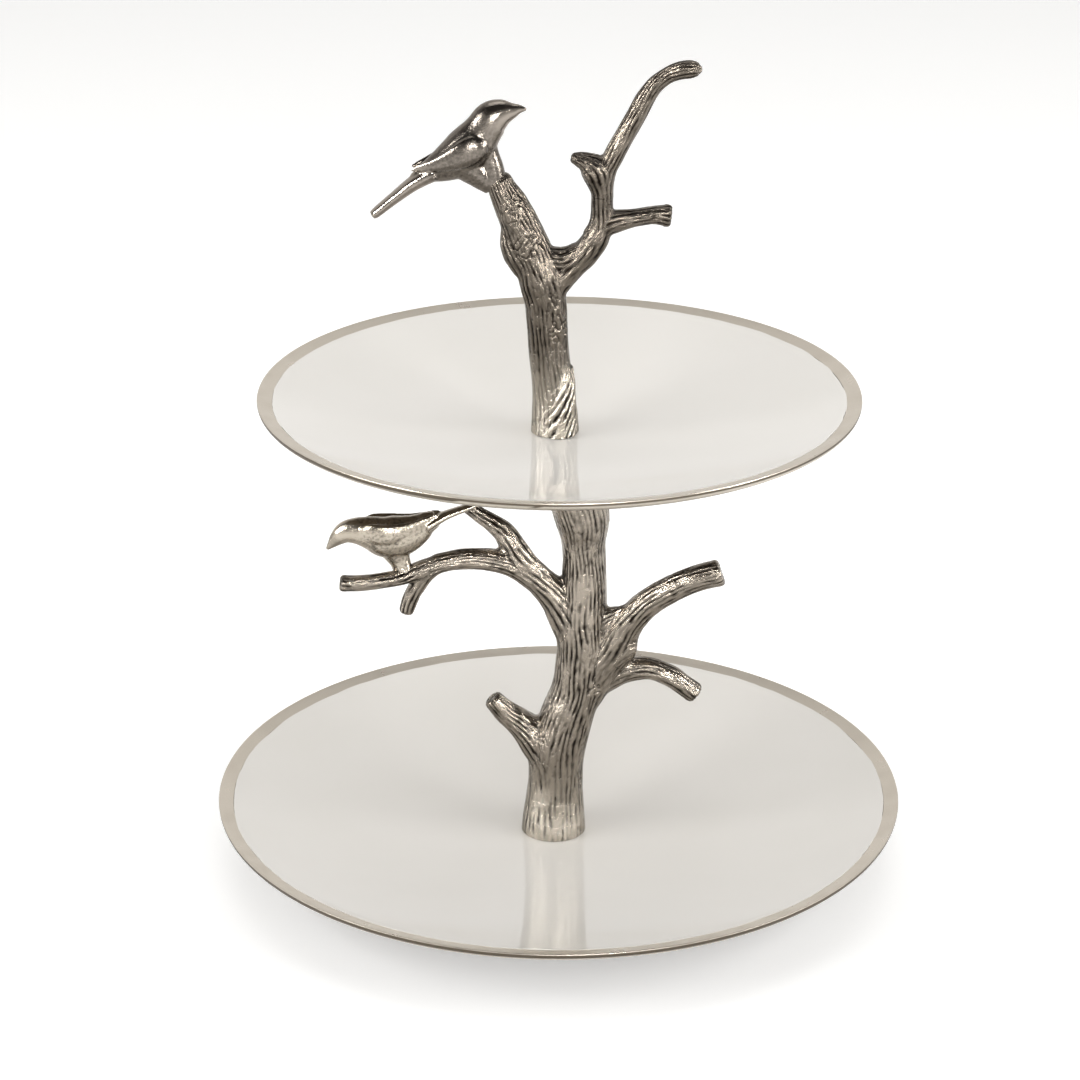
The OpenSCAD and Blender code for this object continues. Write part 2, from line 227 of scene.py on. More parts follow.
def nickel_casting(name, pit, depth, polish, streaked, shaded_tone, foot):
    """Nickel over sand-cast aluminium. pit and depth are the grain in mm, polish the roughness.
    It is NICKEL at the foot (a height in mm) and turns to a darker tone above it: painted shade, darker higher
    up. The tones are chosen for this light, so they aren't a measured property of the nickel plate."""
    material, tree = new_material(name)
    place = object_place(tree)
    height = add_node(tree, "ShaderNodeSeparateXYZ", links={0: place}).outputs["Z"]
    # painted shade: between 12 and 48 mm over the foot the nickel turns to the darker tone
    above = add_node(tree, "ShaderNodeMapRange", {1: (foot + 12) * MM, 2: (foot + 48) * MM, 3: 0.0, 4: 1.0},
                     {0: height}, interpolation_type="SMOOTHSTEP")
    plating_and_shade = add_node(tree, "ShaderNodeMix", {6: to_linear(NICKEL), 7: to_linear(shaded_tone)},
                       {0: above.outputs[0]}, data_type="RGBA")
    # this darkening is the dark of the grooves on the bark, and on the birds it also holds painted shade over
    # the plumage and head
    groove = add_node(tree, "ShaderNodeAttribute", attribute_name="groove").outputs["Fac"]
    grain = add_node(tree, "ShaderNodeTexNoise", {"Scale": 1 / (pit * MM), "Detail": 3.0, "Roughness": 0.6},
                     {"Vector": place}).outputs["Fac"]
    if streaked:
        # fine lines along the limb: 0.8 mm apart and about 5 mm long
        unbent = add_node(tree, "ShaderNodeAttribute", attribute_name="unbent").outputs["Vector"]
        longer = add_node(tree, "ShaderNodeVectorMath", {1: (1.25, 1.25, 0.2)}, {0: unbent},
                          operation="MULTIPLY")
        lines = add_node(tree, "ShaderNodeTexNoise", {"Scale": 1.0, "Detail": 2.5},
                         {"Vector": longer.outputs[0]})
        half = add_node(tree, "ShaderNodeMath", {1: 0.45}, {0: grain}, operation="MULTIPLY")
        grain = add_node(tree, "ShaderNodeMath", links={0: lines.outputs["Fac"], 1: half.outputs[0]},
                         operation="ADD").outputs[0]
    cloud = add_node(tree, "ShaderNodeTexNoise", {"Scale": 1 / (7 * MM), "Detail": 2.0}, {"Vector": place})
    dull = add_node(tree, "ShaderNodeMapRange", {1: 0.35, 2: 0.65, 3: polish * 0.7, 4: polish * 1.4},
                    {0: cloud.outputs["Fac"]})
    tint = add_node(tree, "ShaderNodeMix", {7: to_linear("#120D09")}, {0: groove, 6: plating_and_shade.outputs[2]},
                    data_type="RGBA")
    rough = add_node(tree, "ShaderNodeMath", {1: 0.18}, {0: groove, 2: dull.outputs[0]},
                     operation="MULTIPLY_ADD")
    bump = add_node(tree, "ShaderNodeBump", {"Strength": 1.0, "Distance": depth * MM}, {"Height": grain})
    metal = add_node(tree, "ShaderNodeBsdfPrincipled", {"Metallic": 1.0},
                     {"Base Color": tint.outputs[2], "Roughness": rough.outputs[0],
                      "Normal": bump.outputs[0]})
    shader_out(tree, metal.outputs["BSDF"])
    return material


def nickel_rim():
    """The dish band: rubbed round and round by hand, so its fine lines follow the rim."""
    material, tree = new_material("nickel_rim")
    place = object_place(tree)
    flat = add_node(tree, "ShaderNodeVectorMath", {1: (1, 1, 0)}, {0: place}, operation="MULTIPLY")
    reach = add_node(tree, "ShaderNodeVectorMath", links={0: flat.outputs[0]}, operation="LENGTH")
    lines = add_node(tree, "ShaderNodeTexNoise", {"Scale": 1 / (0.5 * MM), "Detail": 2.0},
                     {"W": reach.outputs["Value"]}, noise_dimensions="1D")
    cloud = add_node(tree, "ShaderNodeTexNoise", {"Scale": 1 / (12 * MM), "Detail": 3.0}, {"Vector": place})
    pits = add_node(tree, "ShaderNodeTexNoise", {"Scale": 1 / (1.1 * MM), "Detail": 3.0}, {"Vector": place})
    both = add_node(tree, "ShaderNodeMath", links={0: lines.outputs["Fac"], 1: pits.outputs["Fac"]},
                    operation="ADD")
    dull = add_node(tree, "ShaderNodeMapRange", {1: 0.3, 2: 0.7, 3: 0.26, 4: 0.42}, {0: cloud.outputs["Fac"]})
    bump = add_node(tree, "ShaderNodeBump", {"Strength": 0.6, "Distance": 0.16 * MM},
                    {"Height": both.outputs[0]})
    cast = add_node(tree, "ShaderNodeAttribute", attribute_name="as_cast_and_shade").outputs["Fac"]
    # painted shade: the marked outer edge below the lip and the underside are darkened to #5A5248; being as
    # cast, they are also rougher
    tint = add_node(tree, "ShaderNodeMix", {6: to_linear("#C9C1B5"), 7: to_linear("#5A5248")},
                    {0: cast}, data_type="RGBA")
    rough = add_node(tree, "ShaderNodeMath", {1: 0.1}, {0: cast, 2: dull.outputs[0]},
                     operation="MULTIPLY_ADD")
    metal = add_node(tree, "ShaderNodeBsdfPrincipled", {"Metallic": 1.0},
                     {"Base Color": tint.outputs[2], "Roughness": rough.outputs[0],
                      "Normal": bump.outputs[0]})
    shader_out(tree, metal.outputs["BSDF"])
    return material


def poured_enamel():
    material, tree = new_material("poured_enamel")
    place = object_place(tree)
    sag = add_node(tree, "ShaderNodeTexNoise", {"Scale": 1 / (45 * MM), "Detail": 1.0}, {"Vector": place})
    tone = add_node(tree, "ShaderNodeMix", {6: to_linear("#E6E3DE"), 7: to_linear("#E1DED8")},
                    {0: sag.outputs["Fac"]}, data_type="RGBA")
    bump = add_node(tree, "ShaderNodeBump", {"Strength": 0.35, "Distance": 0.25 * MM},
                    {"Height": sag.outputs["Fac"]})
    coat = add_node(tree, "ShaderNodeBsdfPrincipled", {
        "Roughness": 0.07, "IOR": 1.52, "Subsurface Weight": 0.0},
        {"Base Color": tone.outputs[2], "Normal": bump.outputs[0]})
    shader_out(tree, coat.outputs["BSDF"])
    return material


def zinc_steel(name, code, rough):
    material, tree = new_material(name)
    place = object_place(tree)
    cloud = add_node(tree, "ShaderNodeTexNoise", {"Scale": 1 / (1.5 * MM), "Detail": 3.0}, {"Vector": place})
    dull = add_node(tree, "ShaderNodeMapRange", {1: 0.3, 2: 0.7, 3: rough * 0.8, 4: rough * 1.3},
                    {0: cloud.outputs["Fac"]})
    bump = add_node(tree, "ShaderNodeBump", {"Strength": 0.3, "Distance": 0.03 * MM},
                    {"Height": cloud.outputs["Fac"]})
    metal = add_node(tree, "ShaderNodeBsdfPrincipled", {"Base Color": to_linear(code), "Metallic": 1.0},
                     {"Roughness": dull.outputs[0], "Normal": bump.outputs[0]})
    shader_out(tree, metal.outputs["BSDF"])
    return material


def soft_rubber(name, code, grain_mm):
    material, tree = new_material(name)
    place = object_place(tree)
    grain = add_node(tree, "ShaderNodeTexNoise", {"Scale": 1 / (grain_mm * MM), "Detail": 4.0},
                     {"Vector": place})
    dust = add_node(tree, "ShaderNodeMapRange", {1: 0.35, 2: 0.75, 3: 0.55, 4: 0.75},
                    {0: grain.outputs["Fac"]})
    bump = add_node(tree, "ShaderNodeBump", {"Strength": 0.4, "Distance": 0.05 * MM},
                    {"Height": grain.outputs["Fac"]})
    rubber = add_node(tree, "ShaderNodeBsdfPrincipled", {"Base Color": to_linear(code), "IOR": 1.52},
                      {"Roughness": dust.outputs[0], "Normal": bump.outputs[0]})
    shader_out(tree, rubber.outputs["BSDF"])
    return material


# painted shade: each casting is NICKEL at the foot height given last and turns to the colour before it higher
# up
TRUNK_BARK = nickel_casting("nickel_trunk_bark", 0.7, 0.45, 0.14, True, "#A0978B", 8)
HANDLE_BARK = nickel_casting("nickel_handle_bark", 0.7, 0.45, 0.13, True, "#776F65", 220)
UPPER_FEATHER = nickel_casting("nickel_upper_feather", 0.55, 0.07, 0.13, False, "#918980", 220)
LOWER_FEATHER = nickel_casting("nickel_lower_feather", 0.55, 0.13, 0.16, False, "#B2A99B", 8)
RIM = nickel_rim()
ENAMEL = poured_enamel()
ZINC = zinc_steel("zinc_steel", "#BDBEBC", 0.28)
WASHER = zinc_steel("washer_steel", "#C4C4C0", 0.33)
PAD = soft_rubber("pad_rubber", "#1B1A1A", 0.4)
FOOT = soft_rubber("foot_rubber", "#232221", 0.6)

for node_name, finish in {"base_washer": WASHER, "stem_pad": PAD, "trunk_top_pad": PAD, "handle_pad": PAD,
                          "bumper_feet": FOOT}.items():
    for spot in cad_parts[node_name].material_slots:
        spot.material = finish
print("finishes:", [m.name for m in (TRUNK_BARK, HANDLE_BARK, UPPER_FEATHER, LOWER_FEATHER, RIM,
                                     ENAMEL, ZINC, WASHER, PAD, FOOT)])

# %% [markdown]
# ## Dishes
# A dish like this is cast, then turned. Here its half section is drawn as a row of points and spun
# once round the stem axis, as on a lathe. The floor is level for 18 mm round the middle and then
# rises faster and faster to the bare band and the lip.

# %% Turning the dishes and pouring the enamel
SEAT_R, BAND, BAND_DROP, WALL, COAT, HOLE_R = 18, 7, 1.6, 3.5, 0.6, 4.4


def floor_rise(r, big_r, depth):
    if r <= SEAT_R:
        return 0.0
    return (depth - BAND_DROP) * ((r - SEAT_R) / (big_r - BAND - SEAT_R)) ** 2.1


def floor_line(big_r, depth, z, steps=46):
    edge = big_r - BAND
    stops = [HOLE_R, 9, 13.5] + [SEAT_R + (edge - SEAT_R) * i / steps for i in range(steps + 1)]
    return [(r, z + floor_rise(r, big_r, depth)) for r in stops]


def lathe(name, section, turns=240):
    """Spins a half section, given in mm as (reach, height), once round the stem axis."""
    let_go()
    bpy.ops.mesh.primitive_plane_add(size=1 * MM, location=(0, 0, 0))
    piece = bpy.context.object
    piece.name = name
    bpy.ops.object.mode_set(mode="EDIT")
    bpy.ops.mesh.select_all(action="SELECT")
    bpy.ops.mesh.merge(type="CENTER")
    (r0, z0), rest = section[0], section[1:]
    bpy.ops.transform.translate(value=(r0 * MM, 0, z0 * MM))
    last = section[0]
    for r, z in rest:
        bpy.ops.mesh.extrude_vertices_move(
            TRANSFORM_OT_translate={"value": ((r - last[0]) * MM, 0, (z - last[1]) * MM)})
        last = (r, z)
    bpy.ops.mesh.select_all(action="SELECT")
    bpy.ops.mesh.edge_face_add()
    bpy.ops.mesh.delete(type="ONLY_FACE")
    bpy.ops.mesh.select_all(action="SELECT")
    bpy.ops.mesh.spin(steps=turns, angle=2 * math.pi, center=(0, 0, 0), axis=(0, 0, 1))
    bpy.ops.mesh.select_all(action="SELECT")
    bpy.ops.mesh.remove_doubles(threshold=0.002 * MM)
    bpy.ops.mesh.normals_make_consistent(inside=False)
    bpy.ops.object.mode_set(mode="OBJECT")
    settle(piece)
    bpy.ops.object.shade_smooth_by_angle(angle=math.radians(38))
    return piece


def turn_dish(name, node, big_r, depth, pads):
    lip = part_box(node)[1].z / MM
    z = lip - depth
    edge = big_r - BAND
    under = floor_line(big_r, depth, z - WALL)[::-1]
    section = (floor_line(big_r, depth, z - COAT)
               + [(edge, lip - BAND_DROP), (edge + 2, lip - BAND_DROP + 0.45), (edge + 4.2, lip - 0.62),
                  (big_r - 1.4, lip - 0.28), (big_r - 0.9, lip - 0.07), (big_r - 0.5, lip),
                  (big_r - 0.15, lip - 0.12), (big_r, lip - 0.5), (big_r - 0.02, lip - 1.1),
                  (big_r - 0.3, lip - 1.9), (big_r - 0.85, lip - 2.7), (big_r - 1.6, lip - 3.4),
                  (big_r - 2.6, lip - 4.0), (big_r - 3.6, lip - 4.4)]
               + under)
    dish = lathe(name, section)
    if pads:
        # four level cast pads for the feet
        for turn in range(4):
            a = math.radians(45 + 90 * turn)
            let_go()
            bpy.ops.mesh.primitive_cylinder_add(
                vertices=64, radius=9 * MM, depth=7.0 * MM,
                location=(80 * MM * math.cos(a), 80 * MM * math.sin(a), 9.5 * MM))
            pad = bpy.context.object
            settle(pad)
            shaped_by(pad, "BEVEL", width=0.5 * MM, segments=3, limit_method="ANGLE")
            pick(dish, pad)
            bpy.ops.object.join()
    pick(dish)
    bpy.ops.object.shade_smooth_by_angle(angle=math.radians(38))
    # the outer edge below the lip and the underside are marked: rougher as cast, and darker by painted shade
    as_cast_and_shade = dish.data.attributes.new("as_cast_and_shade", "FLOAT", "POINT")
    for i, point in enumerate(dish.data.vertices):
        r, h = math.hypot(point.co.x, point.co.y) / MM, point.co.z / MM
        edge_down = r > big_r - 0.3 and h < lip - 0.35
        as_cast_and_shade.data[i].value = float(edge_down or h < z + floor_rise(min(r, edge), big_r, depth) - 2)
    dish.data.materials.clear()
    dish.data.materials.append(RIM)
    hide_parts(node)
    tally(dish)
    return dish


def pour_enamel(name, node, dish_node, big_r, depth, seed):
    """The coat fills the dish up to the band; its wiped edge wanders a little, as hand work does."""
    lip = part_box(dish_node)[1].z / MM
    z = lip - depth
    top = floor_line(big_r, depth, z)
    edge_r, edge_z = top[-1]
    top[-1] = (edge_r - 0.3, edge_z + 0.04)
    section = (floor_line(big_r, depth, z - COAT)[:-1] + [(edge_r - 0.05, edge_z - COAT)]
               + [(edge_r - 0.02, edge_z + 0.02), (edge_r - 0.1, edge_z + 0.1)] + top[::-1])
    coat = lathe(name, section)
    for point in coat.data.vertices:
        r = math.hypot(point.co.x, point.co.y)
        if r > (edge_r - 0.6) * MM and point.co.z > (edge_z - 0.2) * MM:
            a = math.atan2(point.co.y, point.co.x)
            wander = noise.noise((math.cos(a) * 9, math.sin(a) * 9, seed)) * 0.55 \
                + noise.noise((math.cos(a) * 30, math.sin(a) * 30, seed)) * 0.25
            grown = r + wander * MM
            point.co.x *= grown / r
            point.co.y *= grown / r
            point.co.z += max(0.0, wander) * 0.25 * MM + 0.03 * MM
    coat.data.materials.clear()
    coat.data.materials.append(ENAMEL)
    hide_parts(node)
    tally(coat)
    return coat


lower_dish = turn_dish("turned_lower_dish", "lower_dish", 165, 23, True)
upper_dish = turn_dish("turned_upper_dish", "upper_dish", 140, 19.5, False)
lower_coat = pour_enamel("poured_lower_enamel", "lower_enamel", "lower_dish", 165, 23, 1.7)
upper_coat = pour_enamel("poured_upper_enamel", "upper_enamel", "upper_dish", 140, 19.5, 6.3)
for piece in (lower_dish, lower_coat):
    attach(piece, "base")
for piece in (upper_dish, upper_coat):
    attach(piece, "upper_tier")

# %% [markdown]
# ## Limbs
# Every limb starts as a round, which is pulled along a row of stations. At each one it is turned to
# face the way the limb goes and made wider or thinner. The limbs of one casting are joined, and one
# voxel remesh welds them into a single skin. Smoothing the forks then gives them the soft webs that
# metal takes in a sand mould.

# %% Drawing limbs
FLOOR_1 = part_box("lower_enamel")[0].z / MM + COAT
FLOOR_2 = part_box("upper_enamel")[0].z / MM + COAT


def along(a, b, c, d, t):
    return tuple(0.5 * (2 * q + (r - p) * t + (2 * p - 5 * q + 4 * r - s) * t * t
                        + (3 * q - p - 3 * r + s) * t ** 3) for p, q, r, s in zip(a, b, c, d))


def stations(points, base, between=4):
    """A rounded path through given points (x, y, height, radius), all in mm."""
    last = len(points) - 2
    path = []
    for i in range(last):
        for j in range(between):
            path.append(along(points[max(i - 1, 0)], points[i], points[i + 1],
                              points[min(i + 2, last)], j / between))
    path += points[last:]
    return [(x, y, z + base, r) for x, y, z, r in path]


def leans(path):
    """The angle from upright of the limb at each station, turning in the x-z plane."""
    found = []
    for i in range(len(path)):
        a, b = path[max(i - 1, 0)], path[min(i + 1, len(path) - 1)]
        lean = math.atan2(b[0] - a[0], b[2] - a[2])
        if found:
            while lean - found[-1] > math.pi:
                lean -= 2 * math.pi
            while lean - found[-1] < -math.pi:
                lean += 2 * math.pi
        found.append(lean)
    return found


def draw_limb(name, path, corners=24, broad=1.0):
    """Pulls a round along the stations. broad widens it front to back."""
    lean = leans(path)
    x, y, z, r = path[0]
    let_go()
    bpy.ops.mesh.primitive_circle_add(
        vertices=corners, radius=r * MM, fill_type="NGON",
        location=(x * MM, y * MM, z * MM), rotation=(0, lean[0], 0))
    limb = bpy.context.object
    limb.name = name
    settle(limb)
    bpy.ops.object.mode_set(mode="EDIT")
    bpy.ops.mesh.select_all(action="SELECT")
    middle = Vector((x, y, z)) * MM
    if broad != 1.0:
        bpy.ops.transform.resize(value=(1, broad, 1), center_override=middle)
    for i in range(1, len(path)):
        here = Vector(path[i][:3]) * MM
        bpy.ops.mesh.extrude_region_move(TRANSFORM_OT_translate={"value": here - middle})
        turn = lean[i] - lean[i - 1]
        if abs(turn) > 1e-5:
            bpy.ops.transform.rotate(value=-turn, orient_axis="Y", orient_type="GLOBAL",
                                     center_override=here)
        grow = path[i][3] / path[i - 1][3]
        bpy.ops.transform.resize(value=(grow, grow, grow), center_override=here)
        middle = here
    bpy.ops.mesh.select_all(action="SELECT")
    bpy.ops.mesh.normals_make_consistent(inside=False)
    bpy.ops.object.mode_set(mode="OBJECT")
    return limb


print("limb tools:", [tool.__name__ for tool in (along, stations, leans, draw_limb)])

# %% [markdown]
# ## Bark
# Bark is worked out for each point of the skin from the limbs it lies on: how far along the limb,
# and which way round. A whole number of grooves goes round each limb, about 2.3 mm apart, and a
# noise makes them wander, fade and deepen along their way. Where two limbs meet their grooves
# blend. The depth goes into a vertex group, and a Displace modifier carves by it.

# %% Welding limbs and carving bark
def limb_table(paths):
    """All stations of a casting with their directions, as arrays."""
    rows = []
    for number, path in enumerate(paths):
        length = 0.0
        for i, (x, y, z, r) in enumerate(path):
            a, b = path[max(i - 1, 0)], path[min(i + 1, len(path) - 1)]
            way = Vector(b[:3]) - Vector(a[:3])
            flare = (b[3] - a[3]) / way.length
            way.normalize()
            if i:
                length += (Vector(path[i][:3]) - Vector(path[i - 1][:3])).length
            rows.append((number, x, y, z, r, way.x, way.y, way.z, length, flare, i == len(path) - 1))
    return np.array(rows, float)


def points_of(piece):
    flat = np.zeros(len(piece.data.vertices) * 3)
    piece.data.vertices.foreach_get("co", flat)
    return flat.reshape(-1, 3) / MM


def limb_places(points, paths):
    """For each point (mm) and limb: how far it stands outside the limb, and its station there."""
    table = limb_table(paths)
    outside = np.full((len(points), len(paths)), 1e3)
    station = np.zeros((len(points), len(paths)), int)
    for number in range(len(paths)):
        rows = np.where(table[:, 0] == number)[0]
        for start in range(0, len(points), 20000):
            block = points[start:start + 20000]
            gap = np.linalg.norm(block[:, None, :] - table[None, rows, 1:4], axis=2) - table[None, rows, 4]
            best = gap.argmin(1)
            outside[start:start + 20000, number] = gap[np.arange(len(block)), best]
            station[start:start + 20000, number] = rows[best]
    return table, outside, station


def weight_group(piece, name, values, steps=60):
    """A vertex group from an array of weights between 0 and 1."""
    group = piece.vertex_groups.new(name=name)
    levels = np.round(np.clip(values, 0, 1) * steps).astype(int)
    for level in range(1, steps + 1):
        chosen = np.nonzero(levels == level)[0].tolist()
        if chosen:
            group.add(chosen, level / steps, "REPLACE")


def weld_casting(name, limbs, paths, voxel, fork_turns, webs, crisp=()):
    """Joins limbs, welds them with a voxel remesh, softens the forks and fills the limbs out again.
    webs are numbers of limbs that only fill a fork; crisp ones keep their edges."""
    pick(*limbs)
    bpy.ops.object.join()
    casting = bpy.context.object
    casting.name = name
    shaped_by(casting, "REMESH", mode="VOXEL", voxel_size=voxel * MM)
    shaped_by(casting, "SMOOTH", factor=0.5, iterations=3)
    _, outside, _ = limb_places(points_of(casting), paths)
    soft = 1.0 - (np.sort(outside, axis=1)[:, 1] - 0.6) / 3.4
    for number in crisp:
        soft[outside[:, number] < 1.6] = 0.0
    weight_group(casting, "fork", soft)
    shaped_by(casting, "SMOOTH", factor=0.6, iterations=fork_turns, vertex_group="fork")
    points = points_of(casting)
    table, outside, station = limb_places(points, paths)
    home = outside.argmin(1)
    row = table[station[np.arange(len(points)), home]]
    off = points - row[:, 1:4]
    s = (off * row[:, 5:8]).sum(1)
    side = np.linalg.norm(off - row[:, 5:8] * s[:, None], axis=1)
    shrunk = row[:, 4] + row[:, 9] * s - side
    shrunk[(row[:, 10] > 0) & (s > 0.3)] = 0
    second = np.sort(outside, axis=1)[:, 1]
    alone = np.clip((second - 0.6) / 3.0, 0, 1) * ~np.isin(home, webs)
    weight_group(casting, "fill_out", np.clip(shrunk, 0, 1) * alone)
    shaped_by(casting, "DISPLACE", vertex_group="fill_out", strength=1.0 * MM, mid_level=0.0,
              direction="NORMAL")
    shaped_by(casting, "SMOOTH", factor=0.5, iterations=2)
    return casting


def groove_at(u, v, s, n, twist, shift):
    """Depth of bark, 0 to about 1, at one place of an unbent limb, and how much of it is groove."""
    bend = (noise.noise((u / 7, v / 7, s / 18 + shift)) * 3.4
            + noise.noise((u / 3, v / 3, s / 7 - shift)) * 0.9)
    phase = n * math.atan2(v, u) + bend + twist * s
    ridge = abs(math.cos(phase / 2))
    line = max(0.0, 1.0 - ridge / 0.92) ** 0.8
    fade = 0.66 + 1.7 * noise.noise((u / 4.5, v / 4.5, s / 11 + 2 * shift))
    line *= min(1.0, max(0.05, fade))
    fine = noise.noise((u / 1.3, v / 1.3, s / 4 - shift))
    lump = noise.noise((u / 5, v / 5, s / 7 + shift * 3))
    return line + max(0.0, fine) * 0.4 + 0.3 * (0.5 - lump), line * 1.35 + max(0.0, fine - 0.05) * 1.1


def carve_bark(piece, paths, names, depth, habit, by_height=(), pitted=(), knots=(), seed=0.0):
    """depth: mm for full strength. habit: name -> (pitch, twist, strength), with "" for the rest.
    knots: (x, y, z, radius, strength) of places where the grooves break up."""
    points = points_of(piece)
    count = len(points)
    table, outside, station = limb_places(points, paths)
    nearest = outside.min(1)
    weight = np.exp(-(outside - nearest[:, None]) / 0.9)
    weight[weight < 0.06] = 0.0
    ways, turns = [], []
    for number, name in enumerate(names):
        pitch, twist, strength = habit.get(name, habit[""])
        mean = float(np.mean([station_[3] for station_ in paths[number]]))
        ways.append((max(6, round(2 * math.pi * mean / pitch)), twist, strength))
    heights, levels = zip(*by_height)
    sunk, dark, place = np.zeros(count), np.zeros(count), np.zeros((count, 3))
    for i in range(count):
        total, deep, line = 0.0, 0.0, 0.0
        p = points[i]
        for number in np.nonzero(weight[i])[0]:
            row = table[station[i, number]]
            n, twist, strength = ways[number]
            if names[number] in pitted:
                strength = float(np.interp(p[2], heights, levels))
            ox, oy, oz = p[0] - row[1], p[1] - row[2], p[2] - row[3]
            wx, wy, wz = row[5], row[6], row[7]
            t = ox * wx + oy * wy + oz * wz
            ox, oy, oz = ox - wx * t, oy - wy * t, oz - wz * t
            flat = math.hypot(wx, wz)
            u, v = (ox * wz - oz * wx) / flat, oy
            size = math.hypot(u, v) or 1e-6
            r = row[4]
            u, v = u * r / size, v * r / size
            one, groove = groove_at(u, v, row[8] + t, n, twist, seed + number * 7.3)
            reach = strength * min(1.0, 0.4 + r / 16)
            w = weight[i, number]
            if outside[i, number] == nearest[i]:
                place[i] = (u, v, row[8] + t + number * 31)
            total += w
            deep += w * one * reach
            line += w * groove * min(1.0, 0.35 + strength * 0.75)
        deep, line = deep / total, line / total
        if names[int(outside[i].argmin())] in pitted:
            pit = noise.voronoi(Vector(p) / 3.0)[0][0]
            pit = max(0.0, 1.0 - pit / 0.30) * min(1.0, max(0.0, 0.6 + 2.2 * noise.noise(Vector(p) / 9)))
            deep, line = deep + pit * 0.8, max(line, pit)
        for kx, ky, kz, kr, ks in knots:
            near = 1.0 - math.dist(p, (kx, ky, kz)) / kr
            if near > 0:
                near = min(1.0, near * 2.5) * ks
                burl = noise.noise((p[0] / 2.2, p[1] / 2.2, p[2] / 3.4 + kz))
                burl = max(0.0, 1.0 - abs(burl) / 0.22)
                deep = deep * (1 - near) + near * (0.1 + 1.1 * burl)
                line = line * (1 - near) + near * burl * 1.1
        sunk[i], dark[i] = deep, line
    weight_group(piece, "bark", sunk / 1.5, 90)
    shaped_by(piece, "DISPLACE", vertex_group="bark", strength=-depth * 1.5 * MM, mid_level=0.14,
              direction="NORMAL")
    groove = piece.data.attributes.new("groove", "FLOAT", "POINT")
    groove.data.foreach_set("value", np.clip(dark, 0, 1))
    unbent = piece.data.attributes.new("unbent", "FLOAT_VECTOR", "POINT")
    unbent.data.foreach_set("vector", place.ravel())


def level_cut(piece, z, keep_above):
    """Cuts the casting off level, as a foot is faced on a lathe, and closes it."""
    pick(piece)
    bpy.ops.object.mode_set(mode="EDIT")
    bpy.ops.mesh.select_all(action="SELECT")
    bpy.ops.mesh.bisect(plane_co=(0, 0, z * MM), plane_no=(0, 0, 1), use_fill=True,
                        clear_inner=keep_above, clear_outer=not keep_above)
    bpy.ops.object.mode_set(mode="OBJECT")


def bore(piece, r, z_low, z_high):
    """Drills a round hole on the stem axis."""
    let_go()
    bpy.ops.mesh.primitive_cylinder_add(vertices=48, radius=r * MM, depth=(z_high - z_low) * MM,
                                        location=(0, 0, (z_low + z_high) / 2 * MM))
    drill = bpy.context.object
    settle(drill)
    shaped_by(piece, "BOOLEAN", operation="DIFFERENCE", object=drill, solver="EXACT")
    bpy.data.objects.remove(drill)


print("bark and welding tools ready")

# %% [markdown]
# ## Trunk
# The trunk leans over its foot, rises nearly straight and flares under the upper dish. On the left
# are a cut stub and a long limb that forks; on the right a thick limb and a twig leave together.

